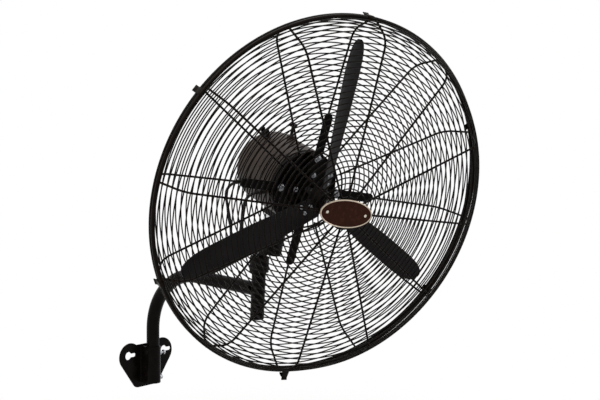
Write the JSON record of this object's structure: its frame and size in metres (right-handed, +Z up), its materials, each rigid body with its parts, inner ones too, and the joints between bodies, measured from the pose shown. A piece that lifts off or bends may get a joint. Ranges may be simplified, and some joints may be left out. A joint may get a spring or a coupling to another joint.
{
  "type": "wall mounted fan",
  "caption": "Wall mounted fan: a wire cage round a bladed rotor on a tilting, swivelling motor head, held by a bent tube arm in a keyhole wall bracket.",
  "frame": {"origin": "on the wall face of the bracket's plate, midway between the two keyholes", "axes": "+Y into the wall, +Z up, +X to the right seen from the front; the fan reaches out along -Y"},
  "size_m": [0.7111, 0.7784, 0.8411],
  "materials": {
    "black_paint": "gloss",
    "drum_paint": "satin",
    "bright_steel": "brushed",
    "copper_winding": "satin",
    "bush_brass": "satin",
    "cast_metal": "satin",
    "black_plastic": "matte",
    "badge_face": "gloss",
    "badge_trim": "satin",
    "lead_rubber": "matte"
  },
  "bodies": {
    "wall_bracket": {"wall_plate": "black_paint", "socket_channel": "black_paint", "socket_back_strip": "black_paint", "socket_floor": "black_paint", "clamp_nuts": "bright_steel", "clamp_bolts": "bright_steel"},
    "arm": {"arm_tube": "black_paint", "post_tube": "black_paint", "post_plug": "black_plastic", "neck_collar": "black_paint", "collar_screw": "bright_steel"},
    "tilt_body": {"tilt_yoke": "black_paint", "tilt_bolt": "bright_steel", "tilt_nut": "bright_steel", "swivel_bush": "bush_brass", "thrust_washer": "black_plastic"},
    "head": {"saddle": "black_paint", "swivel_nut": "bright_steel", "motor_shell": "drum_paint", "motor_clip": "black_paint", "stator": "bright_steel", "windings": "copper_winding", "bearings": "bright_steel", "bulkhead": "cast_metal", "front_cover": "black_paint", "spider": "black_paint", "spider_screws": "bright_steel", "centre_screws": "bright_steel", "rear_collar": "black_paint", "rear_rim": "black_paint", "rear_spokes": "black_paint", "rear_outer_rings": "black_paint", "rear_inner_rings": "black_paint", "front_rim": "black_paint", "front_spokes": "black_paint", "front_outer_rings": "black_paint", "front_inner_rings": "black_paint", "front_disc": "black_paint", "badge_plate": "badge_face", "badge_bezel": "badge_trim", "badge_rivets": "bright_steel", "lead_glands": "black_plastic", "motor_lead": "lead_rubber"},
    "rotor": {"motor_shaft": "bright_steel", "rotor_core": "bright_steel", "blade_hub": "cast_metal", "blade_1": "black_paint", "blade_2": "black_paint", "blade_3": "black_paint", "blade_bolts": "bright_steel"},
    "crank": {"crank": "bright_steel", "worm_wheel": "bush_brass"},
    "link": {"link_rod": "bright_steel"},
    "knob": {"clutch_knob": "black_plastic"},
    "latch_1": {"latch_1": "black_plastic"},
    "latch_2": {"latch_2": "black_plastic"},
    "latch_3": {"latch_3": "black_plastic"},
    "latch_4": {"latch_4": "black_plastic"},
    "latch_5": {"latch_5": "black_plastic"},
    "latch_6": {"latch_6": "black_plastic"}
  },
  "joints": [
    {"name": "arm_swing", "type": "hinge", "parent": "wall_bracket", "child": "arm", "pos_m": [0, -0.027, 0], "axis": [0, 0, 1], "range_deg": [-30, 30]},
    {"name": "head_tilt", "type": "hinge", "parent": "arm", "child": "tilt_body", "pos_m": [0, -0.37153, 0.27638], "axis": [1, 0, 0], "range_deg": [-16, 12]},
    {"name": "head_swivel", "type": "hinge", "parent": "tilt_body", "child": "head", "pos_m": [0, -0.45052, 0.43578], "axis": [0, -0.2756, 0.9613], "range_deg": [-22, 58]},
    {"name": "rotor_spin", "type": "hinge", "parent": "head", "child": "rotor", "pos_m": [0, -0.45052, 0.43578], "axis": [-0.309, -0.9142, -0.2621], "continuous": true},
    {"name": "crank_turn", "type": "hinge", "parent": "head", "child": "crank", "pos_m": [0.03533, -0.41911, 0.44479], "axis": [0, -0.2756, 0.9613], "continuous": true},
    {"name": "link_swing", "type": "hinge", "parent": "tilt_body", "child": "link", "pos_m": [0.038, -0.41841, 0.32379], "axis": [0, -0.2756, 0.9613], "range_deg": [-22, 58]},
    {"name": "knob_pull", "type": "slide", "parent": "head", "child": "knob", "axis": [0, -0.2756, 0.9613], "range_m": [-0.008, 0]},
    {"name": "latch_1_flip", "type": "hinge", "parent": "head", "child": "latch_1", "pos_m": [-0.0461, -0.69634, 0.74811], "axis": [0.951, -0.2951, -0.0919], "range_deg": [0, 130]},
    {"name": "latch_2_flip", "type": "hinge", "parent": "head", "child": "latch_2", "pos_m": [0.25577, -0.7393, 0.54207], "axis": [0.4698, 0.0929, -0.8779], "range_deg": [0, 130]},
    {"name": "latch_3_flip", "type": "hinge", "parent": "head", "child": "latch_3", "pos_m": [0.25332, -0.6371, 0.18856], "axis": [-0.4813, 0.3881, -0.786], "range_deg": [0, 130]},
    {"name": "latch_4_flip", "type": "hinge", "parent": "head", "child": "latch_4", "pos_m": [-0.05099, -0.49195, 0.04108], "axis": [-0.951, 0.2951, 0.0919], "range_deg": [-78, 52]},
    {"name": "latch_5_flip", "type": "hinge", "parent": "head", "child": "latch_5", "pos_m": [-0.35286, -0.449, 0.24712], "axis": [-0.4698, -0.0929, 0.8779], "range_deg": [0, 130]},
    {"name": "latch_6_flip", "type": "hinge", "parent": "head", "child": "latch_6", "pos_m": [-0.35042, -0.55119, 0.60064], "axis": [0.4813, -0.3881, 0.786], "range_deg": [0, 130]}
  ],
  "couplings": [
    {"joint": "link_swing", "follows": "head_swivel", "ratio": 1}
  ]
}
